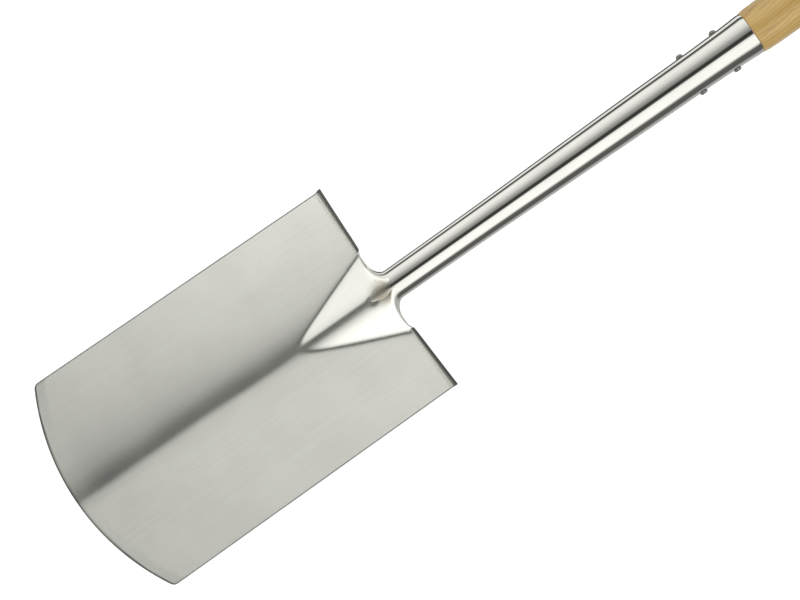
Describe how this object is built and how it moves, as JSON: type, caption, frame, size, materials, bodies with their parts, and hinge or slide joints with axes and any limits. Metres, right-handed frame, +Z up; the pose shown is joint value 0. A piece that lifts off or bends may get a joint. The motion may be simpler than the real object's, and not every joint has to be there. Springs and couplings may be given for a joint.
{
  "type": "digging spade",
  "caption": "Digging spade with a pressed stainless blade, forward treads, tapered socket and an ash shaft split into a wishbone grip.",
  "frame": {"origin": "underside of the middle of the grip crossbar, where the spade hangs on a hook or in a hand", "axes": "+Z up along the shaft, -Y the front of the blade, +X the right-hand side seen from the front"},
  "size_m": [0.19, 0.0596, 1.1196],
  "materials": {
    "blade_steel": "satin-polished stainless steel, fine lengthwise grain",
    "socket_steel": "bright polished stainless steel",
    "rivet_steel": "plain steel, dulled",
    "ash": "clear-varnished ash, straight open grain"
  },
  "bodies": {
    "root": {"blade": "blade_steel", "frog_back_plate": "blade_steel", "socket": "socket_steel", "socket_rivet_upper": "rivet_steel", "socket_rivet_lower": "rivet_steel", "shaft": "ash", "crotch_wedge": "ash", "crotch_rivet": "rivet_steel", "crotch_washer_left": "rivet_steel", "crotch_washer_right": "rivet_steel", "grip": "ash", "grip_rod": "rivet_steel", "grip_washer_left": "rivet_steel", "grip_washer_right": "rivet_steel"}
  },
  "joints": []
}
